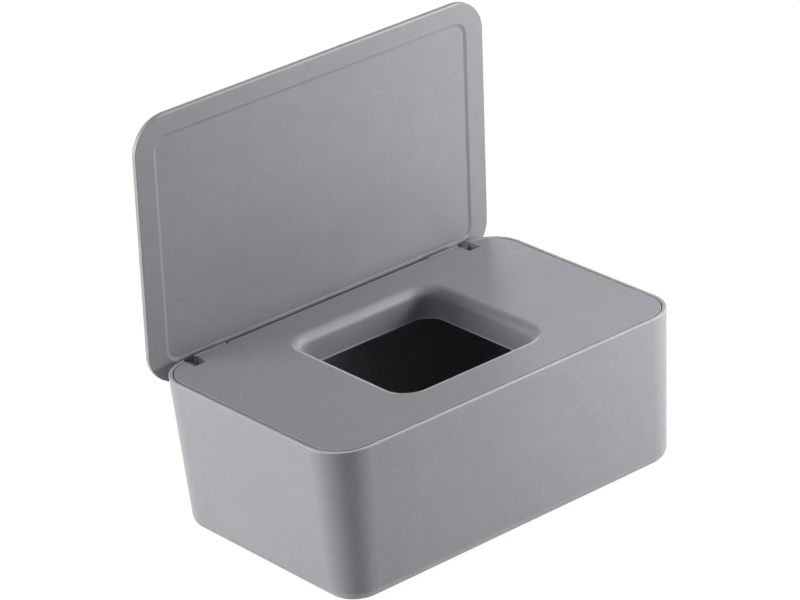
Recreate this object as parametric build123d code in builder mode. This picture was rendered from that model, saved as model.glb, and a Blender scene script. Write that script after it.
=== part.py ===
"""Countertop wipes dispenser: a tub, a drop-in cover with a dispensing well, and a hinged lid.

Millimetres, +Z up. The origin is on the worktop, under the middle of the tub. X runs along the
long side and the hinge is at the back, at +Y. The lid is modelled standing open at its stop.
"""
import os
from math import cos, hypot, radians, sin

from build123d import *

os.makedirs("parts", exist_ok=True)

# Tub: a box whose sides lean in towards the base
rim_length = 188.0          # outside, along X
rim_depth = 122.0           # outside, along Y
tub_height = 70.1           # underside of the base to the top of the rim
side_lean = 3.7             # how far each side comes in from the rim to the base
rim_corner_radius = 17.4    # corner of the rim, seen from above
base_edge_radius = 5.3      # rolled edge round the base
wall = 1.8
base_thickness = 2.4
rim_edge_round = 0.6

# Rubber feet, set in pockets under the base
foot_radius = 6.0
foot_stand = 0.8            # how far a foot stands out of the base
foot_pocket_depth = 1.2
foot_clearance = 0.1        # round the foot, in its pocket
foot_edge_distance = 19.0   # from the foot's centre to the side of the base
foot_edge_round = 0.3

# Cover: a plate that drops inside the rim, flush with its top
cover_thickness = 2.0
cover_side_gap = 0.4        # between the cover and the tub's wall
cover_front_gap = 0.4
cover_back_gap = 0.5
cover_edge_round = 0.4
tongue_setback = 1.1        # from the cover's tongue, which lies over the back wall, to the wall's face
tongue_side_gap = 0.8       # between the tongue and the ends of the lowered part of the back wall
skirt_inset = 1.0           # from the cover's edge to the skirt
skirt_thickness = 1.4
skirt_drop = 9.0            # top of the cover to the skirt's lower edge
lug_projection = 3.0        # the tub's lugs, which carry the skirt
lug_length = 10.0
lug_height = 6.0
lug_land = 1.2
lug_seat_gap = 0.3          # between a lug and the skirt's lower edge
lug_end_distance = 48.0     # lugs on the long walls: from the middle of a lug to the end of the rim
lug_side_distance = 35.0    # lugs on the short walls: from the middle of a lug to the side of the rim

# Well: the opening that the wipes are drawn up through
well_length = 74.4          # clear opening, along X
well_depth = 74.3           # clear opening, along Y
well_shift = 1.85           # from the middle of the tub to the well's middle, towards the hinge
well_corner_radius = 9.6
well_drop = 14.5            # top of the cover to the well's lower edge
well_wall = 1.6
well_roll_radius = 4.4      # rolled edge from the cover's top into the well
well_lip_round = 0.5

# Lid and its hinge
lid_end_inset = 1.0         # the lid is shorter than the rim by this at each end
lid_overhang = 0.65         # the lid reaches past the rim by this at the front and the back
lid_thickness = 2.7
lid_corner_radius = 16.0
lid_gap = 0.3               # closed lid to the top of the rim
lid_outer_round = 0.8
lid_inner_round = 0.4
lid_open_angle = 85.8       # from closed to its stop
border_width = 9.9          # raised border round the lid's inside, to the middle of the step
panel_depth = 0.6           # the panel inside the border
panel_slope_width = 1.5
hinge_setback = 4.0         # hinge axis in front of the tub's back face
hinge_drop = 6.6            # hinge axis below the top of the rim
ear_end_distance = 18.8     # from the middle of an ear to the end of the rim
ear_width = 5.6
ear_radius = 2.4
ear_side_gap = 0.3          # between an ear and its notch
ear_front_gap = 3.0         # between an ear and the front of its notch
stop_gap = 0.18             # between an open ear and the floor of the wall's notch
pin_radius = 1.2
pin_length = 1.6            # stub beyond the ear's side
pin_end_chamfer = 0.3
pin_clearance = 0.05        # radial
cheek_thickness = 2.0       # walls beside each notch, which hold the pins
cheek_margin = 2.2          # of cheek, below and before the pin's bore
cheek_inset = 0.4           # of cheek, in from the cover's edge; the bore breaks out here
trough_clearance = 0.3      # between the lid's trough and the back of the rim, as it swings by
trough_end_distance = 7.0   # from the trough to the end of the lid
back_dip = 2.6              # the middle of the tub's back wall is lower by this
back_dip_distance = 16.1    # from the lowered part to the notch for an ear
back_dip_corner = 1.5
notch_corner = 0.3
notch_edge_round = 0.3

base_level = foot_stand
rim_level = base_level + tub_height
cavity_level = base_level + base_thickness
skirt_level = rim_level - skirt_drop
hinge_level = rim_level - hinge_drop
hinge_y = rim_depth / 2 - hinge_setback
lid_length = rim_length - 2 * lid_end_inset
lid_depth = rim_depth + 2 * lid_overhang
trough_half_length = lid_length / 2 - trough_end_distance
ear_offset = rim_length / 2 - ear_end_distance
notch_width = ear_width + 2 * ear_side_gap
back_dip_half_length = ear_offset - notch_width / 2 - back_dip_distance
notch_front = hinge_y - ear_radius - ear_front_gap
notch_floor = hinge_level - ear_radius - stop_gap
overshoot = 5.0             # extra length of a cutting shape, past what it cuts
ear_signs = (-1, 1)


def side_inset(level):
    """How far the tub's side stands in from the rim at this height."""
    return side_lean * (rim_level - level) / tub_height


def tub_outline(level, inside=0.0):
    """The tub's outline at a height, drawn `inside` its outer face."""
    inset = side_inset(level) + inside
    return RectangleRounded(rim_length - 2 * inset, rim_depth - 2 * inset, rim_corner_radius - inset)


# ------------------------------------------------------------------ tub
foot_x = rim_length / 2 - side_lean - foot_edge_distance
foot_y = rim_depth / 2 - side_lean - foot_edge_distance
inner_length = rim_length - 2 * (wall + side_inset(skirt_level))
inner_depth = rim_depth - 2 * (wall + side_inset(skirt_level))
lug_level = skirt_level - lug_seat_gap
lug_x = rim_length / 2 - lug_end_distance
lug_y = rim_depth / 2 - lug_side_distance
lug_places = [
    ((x * lug_x, y * inner_depth / 2), (0, -y)) for x in (-1, 1) for y in (-1, 1)
] + [
    ((x * inner_length / 2, y * lug_y), (-x, 0)) for x in (-1, 1) for y in (-1, 1)
]

with BuildPart() as tub:
    with BuildSketch(Plane.XY.offset(base_level)):
        tub_outline(base_level)
    with BuildSketch(Plane.XY.offset(rim_level)):
        tub_outline(rim_level)
    loft()
    fillet(tub.faces().sort_by(Axis.Z)[0].edges(), base_edge_radius)

    with BuildSketch(Plane.XY.offset(cavity_level)):
        tub_outline(cavity_level, wall)
    with BuildSketch(Plane.XY.offset(rim_level)):
        tub_outline(rim_level, wall)
    loft(mode=Mode.SUBTRACT)
    flat_faces = tub.faces().filter_by(Axis.Z).sort_by(Axis.Z)
    fillet(flat_faces[1].edges(), base_edge_radius - wall)
    rim_face = tub.faces().filter_by(Axis.Z).sort_by(Axis.Z)[-1]
    fillet(rim_face.edges(), rim_edge_round)

    # lugs that carry the cover's skirt, sloped below so that they leave the mould
    for (x, y), (inward_x, inward_y) in lug_places:
        inward = (inward_x, inward_y, 0)
        sideways = (inward_y, -inward_x, 0)
        with BuildSketch(Plane(origin=(x, y, lug_level), x_dir=inward, z_dir=sideways)):
            Polygon(
                (-wall / 2, 0),
                (lug_projection, 0),
                (lug_projection, -lug_land),
                (-wall / 2, -lug_height),
                align=None,
            )
        extrude(amount=lug_length / 2, both=True)

    # the back wall: lower in the middle, and open where the lid's ears swing through
    with BuildSketch(Plane.XZ.offset(-hinge_y)):
        with Locations((0, rim_level)):
            RectangleRounded(2 * back_dip_half_length, 2 * back_dip, back_dip_corner)
        with Locations(*[(sign * ear_offset, rim_level) for sign in ear_signs]):
            RectangleRounded(notch_width, 2 * (rim_level - notch_floor), notch_corner)
    extrude(amount=-(hinge_setback + overshoot), mode=Mode.SUBTRACT)

    # pockets for the feet
    with BuildSketch(Plane.XY.offset(base_level)):
        with GridLocations(2 * foot_x, 2 * foot_y, 2, 2):
            Circle(foot_radius + foot_clearance)
    extrude(amount=foot_pocket_depth, mode=Mode.SUBTRACT)
tub.part.label = "tub"
export_step(tub.part, "parts/tub.step")


# ------------------------------------------------------------------ feet
for side, x in (("left", -foot_x), ("right", foot_x)):
    for end, y in (("front", -foot_y), ("rear", foot_y)):
        with BuildPart() as foot:
            with BuildSketch(Plane((x, y, 0))):
                Circle(foot_radius)
            extrude(amount=foot_stand + foot_pocket_depth)
            fillet(foot.faces().sort_by(Axis.Z)[0].edges(), foot_edge_round)
        foot.part.label = f"foot_{end}_{side}"
        export_step(foot.part, f"parts/foot_{end}_{side}.step")


# ------------------------------------------------------------------ cover
cover_length = rim_length - 2 * (wall + cover_side_gap)
cover_front = -rim_depth / 2 + wall + cover_front_gap
cover_back = rim_depth / 2 - wall - cover_back_gap
cover_depth = cover_back - cover_front
cover_middle = (cover_back + cover_front) / 2
cover_corner_radius = rim_corner_radius - wall - cover_side_gap
tongue_length = 2 * (back_dip_half_length - tongue_side_gap)
cheek_front = hinge_y - pin_radius - cheek_margin
cheek_bottom = hinge_level - pin_radius - cheek_margin


def cover_outline(inset=0.0, mode=Mode.ADD):
    """The cover's outline, drawn `inset` inside its edge."""
    length = cover_length - 2 * inset
    depth = cover_depth - 2 * inset
    return RectangleRounded(length, depth, cover_corner_radius - inset, mode=mode)


with BuildPart() as cover:
    with BuildSketch(Plane((0, cover_middle, rim_level))):
        cover_outline()
        with Locations((0, rim_depth / 2 - tongue_setback - cover_middle)):
            Rectangle(tongue_length, rim_depth / 2, align=(Align.CENTER, Align.MAX))
    extrude(amount=-cover_thickness)
    fillet(cover.faces().sort_by(Axis.Z)[-1].edges(), cover_edge_round)

    # the well: a tube of wall below the plate, its mouth rolled over
    with BuildSketch(Plane((0, well_shift, rim_level - well_drop))):
        RectangleRounded(
            well_length + 2 * well_wall,
            well_depth + 2 * well_wall,
            well_corner_radius + well_wall,
        )
    extrude(amount=well_drop - cover_thickness / 2)
    under_plate = cover.edges().filter_by_position(
        Axis.Z, rim_level - cover_thickness - 0.01, rim_level - cover_thickness + 0.01
    )
    well_root = under_plate.filter_by(
        lambda edge: abs(edge.center().X) < well_length / 2 + 2 * well_wall
        and abs(edge.center().Y - well_shift) < well_depth / 2 + 2 * well_wall
    )
    fillet(well_root, well_roll_radius - cover_thickness)
    with BuildSketch(Plane((0, well_shift, rim_level - well_drop))):
        RectangleRounded(well_length, well_depth, well_corner_radius)
    extrude(amount=well_drop, mode=Mode.SUBTRACT)
    mouth = cover.faces().sort_by(Axis.Z)[-1].inner_wires()[0]
    fillet(mouth.edges(), well_roll_radius)
    fillet(cover.faces().sort_by(Axis.Z)[0].edges(), well_lip_round)

    # the skirt, which seats on the tub's lugs
    with BuildSketch(Plane((0, cover_middle, skirt_level))):
        cover_outline(skirt_inset)
        cover_outline(skirt_inset + skirt_thickness, mode=Mode.SUBTRACT)
    extrude(amount=skirt_drop - cover_thickness / 2)

    # a notch for each ear of the lid, with a cheek on either side that takes an ear's pin; each
    # bore breaks out at the back, so the pins snap in there before the cover goes into the tub
    cheek_shift = (notch_width + cheek_thickness) / 2
    for ear_x in (-ear_offset, ear_offset):
        for cheek_x in (ear_x - cheek_shift, ear_x + cheek_shift):
            with BuildSketch(Plane((0, cover_middle, cheek_bottom))):
                cover_outline(cheek_inset)
                with Locations((cheek_x, (cheek_front + cover_back) / 2 - cover_middle)):
                    Rectangle(cheek_thickness, cover_back - cheek_front, mode=Mode.INTERSECT)
            extrude(amount=rim_level - cover_thickness / 2 - cheek_bottom)
        with BuildSketch(Plane.XY.offset(cheek_bottom - overshoot)):
            with Locations((ear_x, notch_front)):
                Rectangle(notch_width, rim_depth, align=(Align.CENTER, Align.MIN))
        extrude(amount=rim_level - cheek_bottom + 2 * overshoot, mode=Mode.SUBTRACT)
        with BuildSketch(Plane.YZ.offset(ear_x)):
            with Locations((hinge_y, hinge_level)):
                Circle(pin_radius + pin_clearance)
        extrude(amount=notch_width / 2 + cheek_thickness, both=True, mode=Mode.SUBTRACT)
        notch_top = cover.faces().sort_by(Axis.Z)[-1].edges().filter_by(
            lambda edge: abs(edge.center().X - ear_x) < notch_width / 2 + 0.01
            and edge.center().Y > notch_front - 0.01
        )
        fillet(notch_top, notch_edge_round)
cover.part.label = "cover"
export_step(cover.part, "parts/cover.step")


# ------------------------------------------------------------------ lid
# The lid's own axes, turned about the hinge: u points to its hinge edge, v out of its top.
open_angle = radians(lid_open_angle)
u_axis = (0, cos(open_angle), -sin(open_angle))
v_axis = (0, sin(open_angle), cos(open_angle))
hinge_point = (0, hinge_y, hinge_level)
lid_plane = Plane(origin=hinge_point, x_dir=(1, 0, 0), z_dir=v_axis)
lid_inside = hinge_drop + lid_gap           # height of the lid's inside above the hinge axis


def lid_outline(inset):
    """The lid's outline, drawn `inset` inside its edge."""
    with Locations((0, -hinge_y)):
        RectangleRounded(lid_length - 2 * inset, lid_depth - 2 * inset, lid_corner_radius - inset)


with BuildPart() as lid:
    with BuildSketch(lid_plane.offset(lid_inside)):
        lid_outline(0)
    extrude(amount=lid_thickness)
    plate_faces = lid.faces().filter_by(lid_plane).sort_by(Axis(hinge_point, v_axis))
    fillet(plate_faces[-1].edges(), lid_outer_round)
    fillet(plate_faces[0].edges(), lid_inner_round)

    # the panel, let into the inside with a sloped step round it
    with BuildSketch(lid_plane.offset(lid_inside)):
        lid_outline(border_width - panel_slope_width / 2)
    with BuildSketch(lid_plane.offset(lid_inside + panel_depth)):
        lid_outline(border_width + panel_slope_width / 2)
    loft(mode=Mode.SUBTRACT)

    # a shallow trough round the hinge axis, which lets the lid swing past the back of the rim
    rim_reach = hypot(hinge_setback - rim_edge_round, hinge_drop - rim_edge_round) + rim_edge_round
    with BuildSketch(Plane(origin=hinge_point, x_dir=u_axis, z_dir=(1, 0, 0))):
        Circle(rim_reach + trough_clearance)
    extrude(amount=trough_half_length, both=True, mode=Mode.SUBTRACT)

    # two ears, each with a stub pin on both sides
    for ear_x in (-ear_offset, ear_offset):
        ear_plane = Plane(origin=(ear_x, hinge_y, hinge_level), x_dir=u_axis, z_dir=(1, 0, 0))
        with BuildSketch(ear_plane):
            Circle(ear_radius)
            Rectangle(2 * ear_radius, lid_inside + lid_thickness / 2, align=(Align.CENTER, Align.MIN))
        extrude(amount=ear_width / 2, both=True)
        with BuildSketch(ear_plane):
            Circle(pin_radius)
        extrude(amount=ear_width / 2 + pin_length, both=True)
        pin_ends = lid.faces().filter_by(Axis.X).filter_by(
            lambda face: abs(abs(face.center().X - ear_x) - ear_width / 2 - pin_length) < 0.01
        )
        chamfer(pin_ends.edges(), pin_end_chamfer)
lid.part.label = "lid"
export_step(lid.part, "parts/lid.step")
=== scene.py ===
# %% [markdown]
# # Countertop wipes dispenser
# A grey plastic box that holds a stack of wet wipes. The tub stands on four rubber feet, a cover
# with a square well drops inside its rim, and a flat lid is hinged at the back and stands open.
# The shapes come from the CAD model, so this lesson is about finish and light: how satin moulded
# plastic and rubber are made from procedural textures, and how a plain studio is set up round
# them.

# %% [markdown]
# ## Start from the CAD model
# Everything stands on z = 0, and the hinge is at +Y. The size of the whole object is kept, to
# print beside the last one at the end.

from math import cos, radians, sin

import bpy
from mathutils import Matrix, Vector


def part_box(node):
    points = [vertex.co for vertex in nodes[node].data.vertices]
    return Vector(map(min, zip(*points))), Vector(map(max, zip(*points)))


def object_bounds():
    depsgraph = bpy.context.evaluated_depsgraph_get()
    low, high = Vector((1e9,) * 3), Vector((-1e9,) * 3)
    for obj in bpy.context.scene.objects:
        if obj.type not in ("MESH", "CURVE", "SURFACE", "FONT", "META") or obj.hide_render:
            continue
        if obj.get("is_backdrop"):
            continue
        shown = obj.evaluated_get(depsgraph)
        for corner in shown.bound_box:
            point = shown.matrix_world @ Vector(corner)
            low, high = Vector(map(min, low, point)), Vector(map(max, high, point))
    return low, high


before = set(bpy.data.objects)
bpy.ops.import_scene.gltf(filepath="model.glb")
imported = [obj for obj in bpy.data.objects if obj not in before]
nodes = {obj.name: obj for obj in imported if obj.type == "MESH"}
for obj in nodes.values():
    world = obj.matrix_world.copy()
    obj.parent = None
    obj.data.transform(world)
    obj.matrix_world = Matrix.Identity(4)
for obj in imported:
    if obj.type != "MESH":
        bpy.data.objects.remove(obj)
first_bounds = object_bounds()
bpy.ops.object.select_all(action="DESELECT")
for name in sorted(nodes):
    low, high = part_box(name)
    print(name, "is", [round(1000 * (b - a), 1) for a, b in zip(low, high)], "mm")

# %% [markdown]
# ## Camera
# Small products are shot with a long lens from a metre or two away, which keeps their edges
# nearly parallel. The camera is placed from the point it looks at, a bearing, a height angle and
# a distance, because those four are easier to think about than three coordinates. A slight roll
# tips the box the way that a hand-held camera does. A camera looks along its own -Z, so the third
# column of its matrix points back, away from the box.

# %% Place the camera
TARGET = Vector((-0.01416, -0.00781, 0.09632))
BEARING, HEIGHT, ROLL = radians(-37.70), radians(24.78), radians(-5.06)
DISTANCE = 1.69825
LENS_MM, SENSOR_MM = 186.03, 36
NEAREST = 0.05

back = Vector((sin(BEARING) * cos(HEIGHT), -cos(BEARING) * cos(HEIGHT), sin(HEIGHT)))
level_x = Vector((0, 0, 1)).cross(back).normalized()
level_y = back.cross(level_x)
camera_x = level_x * cos(ROLL) + level_y * sin(ROLL)
camera_y = level_y * cos(ROLL) - level_x * sin(ROLL)

bpy.ops.object.camera_add()
camera = bpy.context.object
camera.name = "camera"
turn = Matrix((camera_x, camera_y, back)).transposed().to_4x4()
camera.matrix_world = Matrix.Translation(TARGET + back * DISTANCE) @ turn
camera.data.lens = LENS_MM
camera.data.sensor_width = SENSOR_MM
camera.data.clip_start = NEAREST
bpy.context.scene.camera = camera
print("camera at", [round(x, 3) for x in camera.location])

# %% [markdown]
# ## Small helpers for materials
# A material is a graph of nodes. `node` adds one and sets its values, `join` runs a wire between
# two sockets, and `new_material` starts a graph. With them a finish reads from top to bottom, in
# the order that it is built up.

# %% Helpers for nodes
def node(tree, kind, inputs=None, **settings):
    """Adds a node, sets its properties, and sets its sockets' values by name or number."""
    made = tree.nodes.new(kind)
    for name, value in settings.items():
        setattr(made, name, value)
    for socket, value in (inputs or {}).items():
        made.inputs[socket].default_value = value
    return made


def join(tree, source, target):
    """Runs a wire from one socket to another."""
    tree.links.new(source, target)


def new_material(name):
    """Makes an empty material, and returns it with its graph and its shader."""
    material = bpy.data.materials.new(name)
    material.use_nodes = True
    return material, material.node_tree, material.node_tree.nodes["Principled BSDF"]


print("helpers: node, join, new_material")

# %% [markdown]
# ## Ranges
# Noise comes out between about 0.3 and 0.7. `vary` stretches that to the values that are wanted,
# such as 0.97 to 1.03 for a colour that varies by three percent either way. `spread` does the
# same to any other range, and makes a mask from 0 to 1 if nothing else is asked. `combine` works
# out sums and products of masks, and the largest of them.

# %% Helpers for ranges and sums
NOISE_LOW, NOISE_HIGH = 0.3, 0.7


def spread(tree, source, low, high, to_low=0.0, to_high=1.0):
    """Maps low..high of a socket to to_low..to_high, and holds it within them."""
    made = node(tree, "ShaderNodeMapRange", {1: low, 2: high, 3: to_low, 4: to_high})
    join(tree, source, made.inputs[0])
    return made.outputs[0]


def vary(tree, source, to_low, to_high):
    """Maps the usual range of noise to to_low..to_high."""
    return spread(tree, source, NOISE_LOW, NOISE_HIGH, to_low, to_high)


def combine(tree, operation, first, *others):
    """Adds, multiplies or takes the largest of several sockets or numbers."""
    result = first
    for other in others:
        made = node(tree, "ShaderNodeMath", operation=operation)
        for slot, value in enumerate((result, other)):
            if isinstance(value, (int, float)):
                made.inputs[slot].default_value = value
            else:
                join(tree, value, made.inputs[slot])
        result = made.outputs[0]
    return result


def noise(tree, place, cells, detail=2.0, roughness=0.5):
    """Cloudy noise over a place, with so many cells to the metre."""
    settings = {"Scale": cells, "Detail": detail, "Roughness": roughness}
    made = node(tree, "ShaderNodeTexNoise", settings)
    join(tree, place, made.inputs["Vector"])
    return made.outputs[0]


print("helpers: spread, vary, combine, noise")

# %% [markdown]
# ## Where a pattern sits
# All patterns are laid out in Object coordinates, which are the metres of the part's own mesh.
# The pattern then stays on the part when a joint moves it, and looks the same wherever the
# camera stands.

# %% Helpers for the place of a pattern
def object_place(tree):
    """The place on the part, in its own metres."""
    return node(tree, "ShaderNodeTexCoord").outputs["Object"]


def turned_place(tree, place, turn, scale):
    """The same place turned, and squeezed so that noise comes out as long streaks."""
    made = node(tree, "ShaderNodeMapping", {"Rotation": turn, "Scale": scale})
    join(tree, place, made.inputs["Vector"])
    return made.outputs[0]


print("helpers: object_place, turned_place")

# %% [markdown]
# ## Mottle and grain of the moulded plastic
# Pigmented plastic is never one even colour. The pigment drifts with the flow in the mould, which
# gives clouds a few centimetres wide with smaller patches in them, and the satin skin of the
# mould gives a grain finer than a millimetre. Each is noise at its own scale, and together they
# multiply the plain colour. The blue of the pigment drifts on its own, so it has its own noise.

# %% Mottle and grain
CLOUDS, TINTS, PATCHES, GRAIN = 16, 70, 150, 1500


def mottle_and_grain(tree, place):
    """A factor round 1 for the colour: wide clouds, narrower patches and fine grain."""
    clouds = vary(tree, noise(tree, place, CLOUDS, detail=3.0), 0.986, 1.014)
    patches = noise(tree, place, PATCHES, detail=3.0, roughness=0.65)
    patches = vary(tree, patches, 0.976, 1.024)
    grain = vary(tree, noise(tree, place, GRAIN, roughness=0.7), 0.965, 1.035)
    return combine(tree, "MULTIPLY", clouds, patches, grain)


def tint_drift(tree, place):
    """A factor round 1 for the saturation, since the blue of the pigment drifts too."""
    return vary(tree, noise(tree, place, TINTS, detail=3.0, roughness=0.6), 0.70, 1.30)


print("noise cells of", [round(1000 / n, 1) for n in (CLOUDS, TINTS, PATCHES, GRAIN)], "mm")

# %% [markdown]
# ## Worn edges with painted sheen
# Where the plastic turns sharply, it is made a little lighter: partly wear from hands and cloths,
# partly a painted highlight along the edge. The Bevel node gives the normal that the part would
# have if its edges were rounded over a small radius. Where that normal differs from the true one
# there is an edge nearby. Noise breaks the lighter edges up.

# %% Worn edges with painted sheen
FLAT_MATCH, EDGE_MATCH = 0.995, 0.80
WEAR_AND_SHEEN_CELLS, LEAST_WEAR_AND_SHEEN = 240, 0.35


def edge_wear_and_sheen(tree, place, radius):
    """Wear and painted sheen, from 0 on a flat face to 1 on a sharp edge, in uneven patches."""
    rounded = node(tree, "ShaderNodeBevel", {"Radius": radius}, samples=8)
    true_normal = node(tree, "ShaderNodeNewGeometry").outputs["Normal"]
    match = node(tree, "ShaderNodeVectorMath", operation="DOT_PRODUCT")
    join(tree, rounded.outputs[0], match.inputs[0])
    join(tree, true_normal, match.inputs[1])
    edge = spread(tree, match.outputs["Value"], FLAT_MATCH, EDGE_MATCH)
    patches = noise(tree, place, WEAR_AND_SHEEN_CELLS, detail=4.0, roughness=0.65)
    patches = spread(tree, patches, 0.35, 0.60, LEAST_WEAR_AND_SHEEN)
    return combine(tree, "MULTIPLY", edge, patches)


print("edge wear starts where the two normals match by less than", FLAT_MATCH)

# %% [markdown]
# ## Dust specks
# A box on a worktop picks up specks of lint and dust. A Voronoi texture splits space into cells,
# and the distance to the cell's own point makes a dot in each. The cell's random colour leaves
# most of the cells empty and makes the dots differ in strength.

# %% Dust specks
SOLID_MIDDLE = 0.4


def dust_specks(tree, place, cells, radius, share):
    """Small dots in a share of the cells, 1 in the middle of a dot and 0 between them."""
    made = node(tree, "ShaderNodeTexVoronoi", {"Scale": cells, "Randomness": 1.0})
    join(tree, place, made.inputs["Vector"])
    dot = spread(tree, made.outputs["Distance"], radius, SOLID_MIDDLE * radius)
    pick = node(tree, "ShaderNodeSeparateColor")
    join(tree, made.outputs["Color"], pick.inputs[0])
    chosen = spread(tree, pick.outputs[0], 1.0 - share, 1.0)
    return combine(tree, "MULTIPLY", dot, chosen)


print("dust: one dot in each chosen Voronoi cell")

# %% [markdown]
# ## Hairline scuffs
# Wiping leaves hairlines that catch the light. Noise that is squeezed along one direction becomes
# streaks, and keeping only the highest of them leaves short, thin lines. A second noise keeps the
# scuffs in a few places, since a box is not wiped evenly.

# %% Hairline scuffs
SQUEEZE = 0.035
STREAK_CELLS, SCUFFED_CELLS = 1100, 38


def hairlines(tree, place, turn):
    """Thin streaks in scattered patches, from 0 to 1."""
    along = turned_place(tree, place, turn, (1.0, SQUEEZE, 1.0))
    lines = spread(tree, noise(tree, along, STREAK_CELLS, detail=1.0), 0.675, 0.72)
    where = spread(tree, noise(tree, place, SCUFFED_CELLS), 0.50, 0.62)
    return combine(tree, "MULTIPLY", lines, where)


print("hairlines: noise squeezed", round(1 / SQUEEZE), "to 1")

# %% [markdown]
# ## Masks by place and slope
# Some marks sit in one place on the part: on its rim, along its front, round its well. Such a
# mask comes from the position on the part or from the way its face points. `band` rises from 0 to
# 1 between two distances along a direction, and falls if the first of them is the larger.

# %% Helpers for masks
UP = (0, 0, 1)


def band(tree, vector, direction, start, full):
    """0 at start and 1 at full, both measured along a direction from zero."""
    along = node(tree, "ShaderNodeVectorMath", {1: direction}, operation="DOT_PRODUCT")
    join(tree, vector, along.inputs[0])
    return spread(tree, along.outputs["Value"], start, full)


def face_direction(tree):
    """The normal of the face, in the part's own directions."""
    return node(tree, "ShaderNodeTexCoord").outputs["Normal"]


def level_distance(tree, place, centre):
    """How far a place is from an upright line through a centre."""
    offset = node(tree, "ShaderNodeVectorMath", {1: centre}, operation="SUBTRACT")
    join(tree, place, offset.inputs[0])
    level = node(tree, "ShaderNodeVectorMath", {1: (1, 1, 0)}, operation="MULTIPLY")
    join(tree, offset.outputs[0], level.inputs[0])
    away = node(tree, "ShaderNodeVectorMath", operation="LENGTH")
    join(tree, level.outputs[0], away.inputs[0])
    return away.outputs["Value"]


print("masks: band, face_direction, level_distance")

# %% [markdown]
# ## Painted highlights on the rim, base and lid
# The front of the rim and the lid's free edge carry a thin pale line, and a fainter one runs along
# the left of the rim and the foot of the front. It is a painted highlight, a glint put into the
# colour, which stays put as the light moves. The heights come from the CAD parts, so that the
# marks follow them.

# %% Painted highlights on the rim, base and lid
TUB_BASE, RIM_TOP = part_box("tub")[0][2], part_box("tub")[1][2]
LID_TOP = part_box("lid")[1][2]
LEFT_SHARE, ROLL_SHARE, LID_SHARE = 0.32, 0.38, 0.8


def painted_tub_highlights(tree, place):
    """Painted highlight on the crest of the rim at the front, fainter at the left, and on the
    front of the base.
    """
    crest = band(tree, place, UP, RIM_TOP - 0.00038, RIM_TOP - 0.00012)
    base = band(tree, place, UP, TUB_BASE + 0.0050, TUB_BASE + 0.0039)
    front = band(tree, place, (-0.1, -1, 0), 0.040, 0.062)
    left = combine(tree, "MULTIPLY", band(tree, place, (-1, 0, 0), 0.080, 0.090), LEFT_SHARE)
    rim = combine(tree, "MULTIPLY", crest, combine(tree, "MAXIMUM", front, left))
    roll = combine(tree, "MULTIPLY", base, front, ROLL_SHARE)
    return combine(tree, "MAXIMUM", rim, roll)


def painted_lid_highlight(tree, place):
    """Painted highlight on the inner corner of the lid's free edge."""
    high = band(tree, place, UP, LID_TOP - 0.0012, LID_TOP - 0.0005)
    inner = band(tree, face_direction(tree), (0, -1, 0), 0.10, 0.45)
    return combine(tree, "MULTIPLY", high, inner, LID_SHARE)


# The pale lines are painted highlights at these heights.
print("rubbed: rim at", round(RIM_TOP, 4), "m, and lid's edge at", round(LID_TOP, 4), "m")

# %% [markdown]
# ## Painted highlights round the well
# The two near edges of the well and the lip at its bottom carry a thin pale line, and its far roll
# is a little paler than the light here makes it, most of all at the corner. All of it is a painted
# highlight, put into the colour. The crest of a near edge is a strip that slopes gently, so it is
# found by its slope.

# %% Edges of the well
WELL_CENTRE = (0.0, 0.00185, 0.0)
WELL_BOTTOM = RIM_TOP - 0.0145
FAR_SIDE_SHARE, FAR_CORNER_SHARE = 0.14, 0.34


def painted_well_highlights(tree, place):
    """Painted highlight on the crest of the well's near edges, its lower lip and a little of its
    far roll.
    """
    slope = face_direction(tree)
    tilted = band(tree, slope, UP, 0.997, 0.985)
    shallow = band(tree, slope, UP, 0.86, 0.91)
    left = band(tree, place, (-1, -0.35, 0), 0.023, 0.028)
    front = band(tree, place, (-0.35, -1, 0), 0.022, 0.027)
    crest = combine(tree, "MULTIPLY", tilted, shallow, combine(tree, "MAXIMUM", left, front))

    lip = band(tree, place, UP, WELL_BOTTOM + 0.0012, WELL_BOTTOM + 0.0009)

    side = band(tree, slope, (0, -1, 0), 0.30, 0.70)
    side = combine(tree, "MULTIPLY", side, FAR_SIDE_SHARE)
    corner = band(tree, slope, (0.7, -0.7, 0), 0.50, 0.72)
    corner = combine(tree, "MULTIPLY", corner, FAR_CORNER_SHARE)
    not_upright = band(tree, slope, UP, 0.15, 0.45)
    far = combine(tree, "MULTIPLY", combine(tree, "MAXIMUM", side, corner), not_upright)

    around = spread(tree, level_distance(tree, place, WELL_CENTRE), 0.053, 0.051)
    return combine(tree, "MULTIPLY", combine(tree, "MAXIMUM", crest, lip, far), around)


print("well's lip at", round(WELL_BOTTOM, 4), "m")

# %% [markdown]
# ## A curved scratch
# A thin arc lies on the left of the cover, as from something round that was set down there. It is
# where the distance from a centre equals a radius, and it is cut off to one side of the centre.

# %% Curved scratch
SCRATCH_CENTRE = (-0.0732, 0.0086, 0.0)
SCRATCH_RADIUS, SCRATCH_WIDTH, SCRATCH_SHARE = 0.0115, 0.00022, 0.5
SCRATCH_SIDE = (-0.766, 0.643, 0.0)


def curved_scratch(tree, place):
    """A thin arc on the left of the cover, fading out at both ends."""
    away = level_distance(tree, place, SCRATCH_CENTRE)
    inside = spread(tree, away, SCRATCH_RADIUS - SCRATCH_WIDTH, SCRATCH_RADIUS)
    outside = spread(tree, away, SCRATCH_RADIUS + SCRATCH_WIDTH, SCRATCH_RADIUS)
    middle = Vector(SCRATCH_CENTRE).dot(Vector(SCRATCH_SIDE))
    ends = band(tree, place, SCRATCH_SIDE, middle + 0.003, middle + 0.007)
    return combine(tree, "MULTIPLY", inside, outside, ends, SCRATCH_SHARE)


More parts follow.
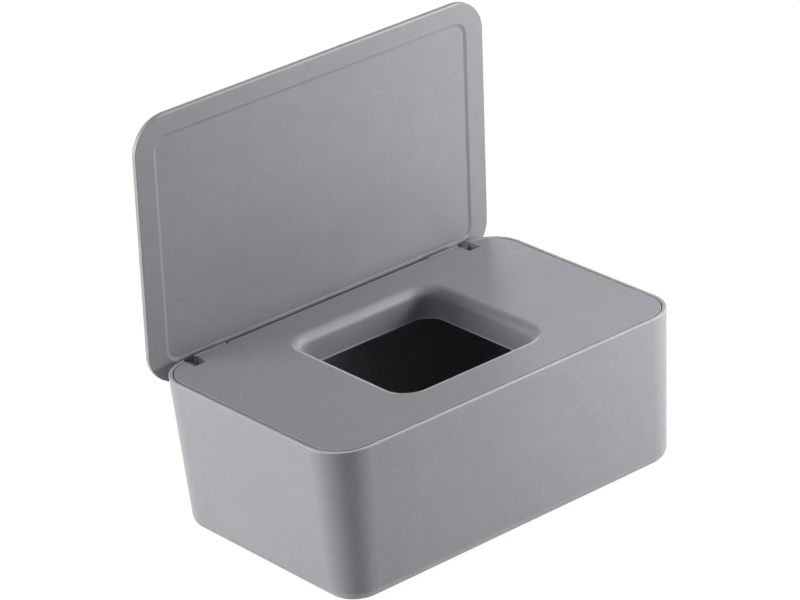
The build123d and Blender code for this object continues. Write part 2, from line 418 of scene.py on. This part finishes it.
def cover_highlights_and_scratch(tree, place):
    """The painted highlights and the scratch on the cover."""
    return combine(tree, "MAXIMUM", painted_well_highlights(tree, place), curved_scratch(tree, place))


print("scratch: an arc of", 1000 * SCRATCH_RADIUS, "mm in radius")

# %% [markdown]
# ## Painted shade and painted light in the seams, and on the lid
# Where two faces almost touch, shade falls, and here it is painted into the colour. The Ambient
# Occlusion node tells how much open space a point sees within a few millimetres, so it is low in
# the seams and in the notches, where the colour is darkened. On the right the seam hardly shows,
# because the cover of the real box sits over to that side. Here the cover is in the middle, and
# the seam there is painted pale to take out its shadow. The lid is painted darker towards its
# hinge, as painted shade.

# %% Painted shade and light in the seams and on the lid
SEAM_REACH = 0.005
SHADE_TOP, SHADE_FOOT, SHADE_SHARE = 0.125, 0.070, 0.10


def seam_painted_shade(tree):
    """Painted shade, from 0 in the open to 1 deep in a seam or a notch."""
    space = node(tree, "ShaderNodeAmbientOcclusion", {"Distance": SEAM_REACH}, samples=8)
    return spread(tree, space.outputs["AO"], 0.60, 0.30)


def lid_painted_shade(tree, place):
    """Painted shade on the lid, growing towards its hinge."""
    return combine(tree, "MULTIPLY", band(tree, place, UP, SHADE_TOP, SHADE_FOOT), SHADE_SHARE)


def seam_painted_light(tree, place):
    """Painted light in the seam between the rim and the cover, along the right."""
    low = band(tree, place, UP, RIM_TOP - 0.0030, RIM_TOP - 0.0015)
    high = band(tree, place, UP, RIM_TOP + 0.0010, RIM_TOP + 0.0005)
    right = band(tree, place, (1, 0.3, 0), 0.060, 0.080)
    steep = band(tree, face_direction(tree), (-1, 0, 0), 0.10, 0.40)
    return combine(tree, "MULTIPLY", low, high, right, steep)


# Shade is painted by open space, and shade and light by place.
print("seams: dirt by open space within", 1000 * SEAM_REACH, "mm, dust and film by place")

# %% [markdown]
# ## Colour of the grey plastic
# The tub, the cover and the lid are mouldings in the same grey, slightly blue plastic with a satin
# skin. The colour is moved towards a few others: a paler grey for worn edges and scuffs, also used
# for painted sheen and painted highlights, near-black for painted shade, and pale grey for lint
# and painted light.

# %% Colours
GREY = (0.324, 0.330, 0.353, 1)
RUBBED_AND_SHEEN_GREY = (0.56, 0.57, 0.59, 1)
HIGHLIGHT_AND_SCRATCH_GREY = (0.64, 0.65, 0.67, 1)
PAINTED_DARK = (0.08, 0.08, 0.08, 1)
LINT_AND_PAINTED_LIGHT = (0.72, 0.72, 0.72, 1)


def tinge(tree, colour, towards, mask, amount=1.0):
    """Mixes a colour towards another by a mask times an amount."""
    made = node(tree, "ShaderNodeMix", data_type="RGBA")
    join(tree, combine(tree, "MULTIPLY", mask, amount), made.inputs["Factor"])
    join(tree, colour, made.inputs[6])
    made.inputs[7].default_value = towards
    return made.outputs[2]


print("greys:", GREY[:3], RUBBED_AND_SHEEN_GREY[:3], HIGHLIGHT_AND_SCRATCH_GREY[:3], PAINTED_DARK[:3], LINT_AND_PAINTED_LIGHT[:3])

# %% [markdown]
# ## Layers of colour
# Each layer tinges the colour below it through its mask: edge wear with painted sheen, painted
# shade in the seams and notches and on the lid, painted highlights and the scratch, scuffs, dust
# specks, and painted light in the right seam on top of all.

# %% Colour of the plastic
WEAR_AND_SHEEN, SEAM_SHADE_SHARE, HIGHLIGHTS_AND_MARKS_SHARE, SCUFFS, SPECKS = 0.40, 0.85, 0.90, 0.16, 0.30


def plastic_colour(tree, place, wear_and_sheen, scuffs, dust, highlights_and_marks, lid_shade):
    """The grey with all its layers. Only a moulding with painted shade of its own passes it."""
    plain = node(tree, "ShaderNodeHueSaturation", {"Color": GREY})
    join(tree, mottle_and_grain(tree, place), plain.inputs["Value"])
    join(tree, tint_drift(tree, place), plain.inputs["Saturation"])
    # Wear with painted sheen, painted shade, painted highlights, scuffs, dust, painted light in
    # the seam.
    colour = tinge(tree, plain.outputs[0], RUBBED_AND_SHEEN_GREY, wear_and_sheen, WEAR_AND_SHEEN)
    colour = tinge(tree, colour, PAINTED_DARK, seam_painted_shade(tree), SEAM_SHADE_SHARE)
    if lid_shade:
        colour = tinge(tree, colour, PAINTED_DARK, lid_shade(tree, place))
    colour = tinge(tree, colour, HIGHLIGHT_AND_SCRATCH_GREY, highlights_and_marks(tree, place), HIGHLIGHTS_AND_MARKS_SHARE)
    colour = tinge(tree, colour, RUBBED_AND_SHEEN_GREY, scuffs, SCUFFS)
    colour = tinge(tree, colour, LINT_AND_PAINTED_LIGHT, dust, SPECKS)
    return tinge(tree, colour, LINT_AND_PAINTED_LIGHT, seam_painted_light(tree, place))


print("shares of wear, seams, polish, scuffs, specks:", WEAR_AND_SHEEN, SEAM_SHADE_SHARE, HIGHLIGHTS_AND_MARKS_SHARE, SCUFFS, SPECKS)

# %% [markdown]
# ## Roughness and skin of the plastic
# The same masks steer the gloss: worn edges and scuffs are smoother than the satin skin, and dust
# is rougher. The bump adds the fine skin and a very slow waviness, which large thin faces have as
# the plastic shrinks.

# %% Roughness and bump
SATIN_LOW, SATIN_HIGH = 0.455, 0.505
WORN_CHANGE, SCUFFED_CHANGE, DUSTY_CHANGE = -0.06, -0.05, 0.20


def plastic_roughness(tree, place, wear_and_sheen, scuffs, dust):
    """Satin, a little uneven, smoother where it is rubbed and rougher under dust."""
    uneven = noise(tree, place, 45, detail=3.0, roughness=0.6)
    satin = vary(tree, uneven, SATIN_LOW, SATIN_HIGH)
    worn = combine(tree, "MULTIPLY", wear_and_sheen, WORN_CHANGE)
    scuffed = combine(tree, "MULTIPLY", scuffs, SCUFFED_CHANGE)
    dusty = combine(tree, "MULTIPLY", dust, DUSTY_CHANGE)
    return combine(tree, "ADD", satin, worn, scuffed, dusty)


def bump(tree, height, strength, distance, finer=None):
    """Turns a height into a normal, on top of a finer bump if there is one."""
    made = node(tree, "ShaderNodeBump", {"Strength": strength, "Distance": distance})
    join(tree, height, made.inputs["Height"])
    if finer:
        join(tree, finer, made.inputs["Normal"])
    return made.outputs[0]


print("roughness of the bare skin from", SATIN_LOW, "to", SATIN_HIGH)

# %% [markdown]
# ## Plastic on the three mouldings
# Each moulding gets a material of its own, because each has its own scuffs, dust and painted
# highlights. The cover lies level with the lid open over it, and catches the most dust.

# %% Plastic on the tub, the cover and the lid
def moulded_plastic(name, turn, dust_share, highlights_and_marks, lid_shade=None):
    """Satin moulded plastic, its scuffs turned one way and dust in a share of the cells."""
    material, tree, shader = new_material(name)
    place = object_place(tree)
    wear_and_sheen = edge_wear_and_sheen(tree, place, radius=0.0009)
    dust = dust_specks(tree, place, cells=300, radius=0.085, share=dust_share)
    scuffs = hairlines(tree, place, turn)

    colour = plastic_colour(tree, place, wear_and_sheen, scuffs, dust, highlights_and_marks, lid_shade)
    join(tree, colour, shader.inputs["Base Color"])
    rough = plastic_roughness(tree, place, wear_and_sheen, scuffs, dust)
    join(tree, rough, shader.inputs["Roughness"])

    skin = noise(tree, place, 2200, detail=3.0, roughness=0.6)
    skin = bump(tree, skin, strength=0.10, distance=0.0001)
    waves = noise(tree, place, 22, detail=1.0)
    waves = bump(tree, waves, strength=0.20, distance=0.0006, finer=skin)
    join(tree, waves, shader.inputs["Normal"])
    return material


def finish_with(name, material):
    """Gives a CAD part one material, in place of what it came with."""
    slots = nodes[name].data.materials
    slots.clear()
    slots.append(material)


plastics = {
    "tub": moulded_plastic("tub_plastic", (0.3, 0.5, 0.2), 0.16, painted_tub_highlights),
    "cover": moulded_plastic("cover_plastic", (0.2, 0.1, 1.1), 0.26, cover_highlights_and_scratch),
    "lid": moulded_plastic("lid_plastic", (1.2, 0.4, 0.3), 0.16, painted_lid_highlight, lid_painted_shade),
}
for name, material in plastics.items():
    finish_with(name, material)
print("plastic on", sorted(plastics))

# %% [markdown]
# ## The rubber feet
# The feet are stamped from dark rubber sheet. Rubber is matt, its grain is coarser than the
# plastic's, and grit and crumbs from the worktop stick to it, so the dust is thicker and its
# edges are greyed.

# %% Rubber for the feet
RUBBER = (0.030, 0.030, 0.032, 1)
GREYED = (0.16, 0.16, 0.155, 1)

rubber, tree, shader = new_material("foot_rubber")
place = object_place(tree)
wear_and_sheen = edge_wear_and_sheen(tree, place, radius=0.0006)
grit = dust_specks(tree, place, cells=900, radius=0.16, share=0.45)
plain = node(tree, "ShaderNodeHueSaturation", {"Color": RUBBER})
grain = vary(tree, noise(tree, place, 700, detail=3.0, roughness=0.6), 0.75, 1.30)
join(tree, grain, plain.inputs["Value"])
colour = tinge(tree, plain.outputs[0], GREYED, wear_and_sheen, 0.55)
colour = tinge(tree, colour, LINT_AND_PAINTED_LIGHT, grit, 0.22)
join(tree, colour, shader.inputs["Base Color"])
rough = vary(tree, noise(tree, place, 500), 0.74, 0.88)
join(tree, rough, shader.inputs["Roughness"])
coarse = noise(tree, place, 1800, detail=3.0, roughness=0.65)
coarse = bump(tree, coarse, strength=0.35, distance=0.00012)
join(tree, coarse, shader.inputs["Normal"])

feet = [name for name in nodes if name.startswith("foot")]
for name in feet:
    finish_with(name, rubber)
print("rubber on", sorted(feet))

# %% [markdown]
# ## White that does not light the box
# The background is pure white. Brightening the lamps until it is would burn out the box, so the
# floor and the world are white only for the camera and for glossy reflections. Light Path tells
# which kind of ray is asking.

# %% What is seen directly
def seen_directly(tree):
    """1 for rays from the camera and for glossy reflections, and 0 for all other rays."""
    rays = node(tree, "ShaderNodeLightPath")
    return combine(tree, "MAXIMUM", rays.outputs["Is Camera Ray"], rays.outputs["Is Glossy Ray"])


print("helper: seen_directly")

# %% [markdown]
# ## A white floor that still takes a shadow
# The box stands on a plain white sweep. Seen directly the floor glows, almost to white, and a
# matt shader is added to that, so that the shadow of the box still shows. All other light meets a
# plain matt floor, which throws a little light back up.

# %% Floor
FLOOR_SIDE = 6
MATT = (0.6, 0.6, 0.6, 1)
SHADE = (0.10, 0.10, 0.10, 1)
GLOW = 0.95

bpy.ops.mesh.primitive_plane_add(size=FLOOR_SIDE)
floor = bpy.context.object
floor.name = "floor"
floor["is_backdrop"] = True
white, tree, shader = new_material("white_floor")
tree.nodes.remove(shader)
matt = node(tree, "ShaderNodeBsdfDiffuse", {"Color": MATT})
shade = node(tree, "ShaderNodeBsdfDiffuse", {"Color": SHADE})
glow = node(tree, "ShaderNodeEmission", {"Color": (1, 1, 1, 1), "Strength": GLOW})
page = node(tree, "ShaderNodeAddShader")
mix = node(tree, "ShaderNodeMixShader")
join(tree, shade.outputs[0], page.inputs[0])
join(tree, glow.outputs[0], page.inputs[1])
join(tree, seen_directly(tree), mix.inputs["Fac"])
join(tree, matt.outputs[0], mix.inputs[1])
join(tree, page.outputs[0], mix.inputs[2])
join(tree, mix.outputs[0], tree.nodes["Material Output"].inputs["Surface"])
floor.data.materials.append(white)
print("floor is", floor.dimensions.x, "m square")

# %% [markdown]
# ## Lamps
# The light is soft and comes from square lamps. The main one stands low, behind and to the left,
# and lights the left side. Weaker ones behind, above and near the front right open up the rest,
# so that the rounded corner between the two near sides is the darkest place. Their strengths were
# fitted by least squares to the shades that chosen places should have in the camera's view, so
# they are odd numbers, and they suit other views less. Each lamp is turned to the middle of the
# box.

# %% Lights
BOX_MIDDLE = Vector((0, 0, 0.06))
LARGE, SMALL = 0.55, 0.25


def soft_lamp(name, place, size, power):
    """Adds a square lamp at a place, turned to the middle of the box."""
    bpy.ops.object.light_add(type="AREA", location=place)
    lamp = bpy.context.object
    lamp.name = name
    lamp.data.size = size
    lamp.data.energy = power
    lamp.rotation_euler = (BOX_MIDDLE - Vector(place)).to_track_quat("-Z", "Y").to_euler()
    return lamp


lamps = [
    soft_lamp("left_back", (-1.115, 0.644, 0.305), LARGE, 15.30),
    soft_lamp("right_back", (0.644, 1.115, 0.305), LARGE, 3.60),
    soft_lamp("back_left", (-0.644, 1.115, 0.305), LARGE, 2.10),
    soft_lamp("left_high", (-0.870, 0.000, 1.026), LARGE, 2.30),
    soft_lamp("right_high", (0.870, 0.000, 1.026), LARGE, 2.70),
    soft_lamp("near_right_front", (0.352, -0.352, 0.155), SMALL, 2.08),
    soft_lamp("near_right", (0.396, -0.106, 0.347), SMALL, 0.40),
    soft_lamp("near_front_right", (0.290, -0.290, 0.347), SMALL, 0.20),
]
print(len(lamps), "lamps,", round(sum(lamp.data.energy for lamp in lamps), 1), "W in all")

# %% [markdown]
# ## The white surroundings
# Round a small box in a studio there is white paper in every direction. Satin plastic mirrors it
# faintly, and that is what makes a level face paler towards its far end. So the world is white
# for the camera and for glossy reflections, and dark for all other rays, where the lamps do the
# lighting.

# %% World
world = bpy.data.worlds.new("studio")
bpy.context.scene.world = world
world.use_nodes = True
tree = world.node_tree
background = tree.nodes["Background"]
background.inputs["Color"].default_value = (1, 1, 1, 1)
join(tree, seen_directly(tree), background.inputs["Strength"])
bpy.context.scene.view_settings.view_transform = "Standard"
print("world is white for camera rays and glossy rays only")

# %% [markdown]
# ## Sizes
# The finish must not change the size of anything, so the box round the whole object is measured
# again and written next to the first one.

# %% Sizes
sizes = {"first": first_bounds, "last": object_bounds()}
sizes = {name: [list(corner) for corner in box] for name, box in sizes.items()}
print("bounds, first and last:", sizes)
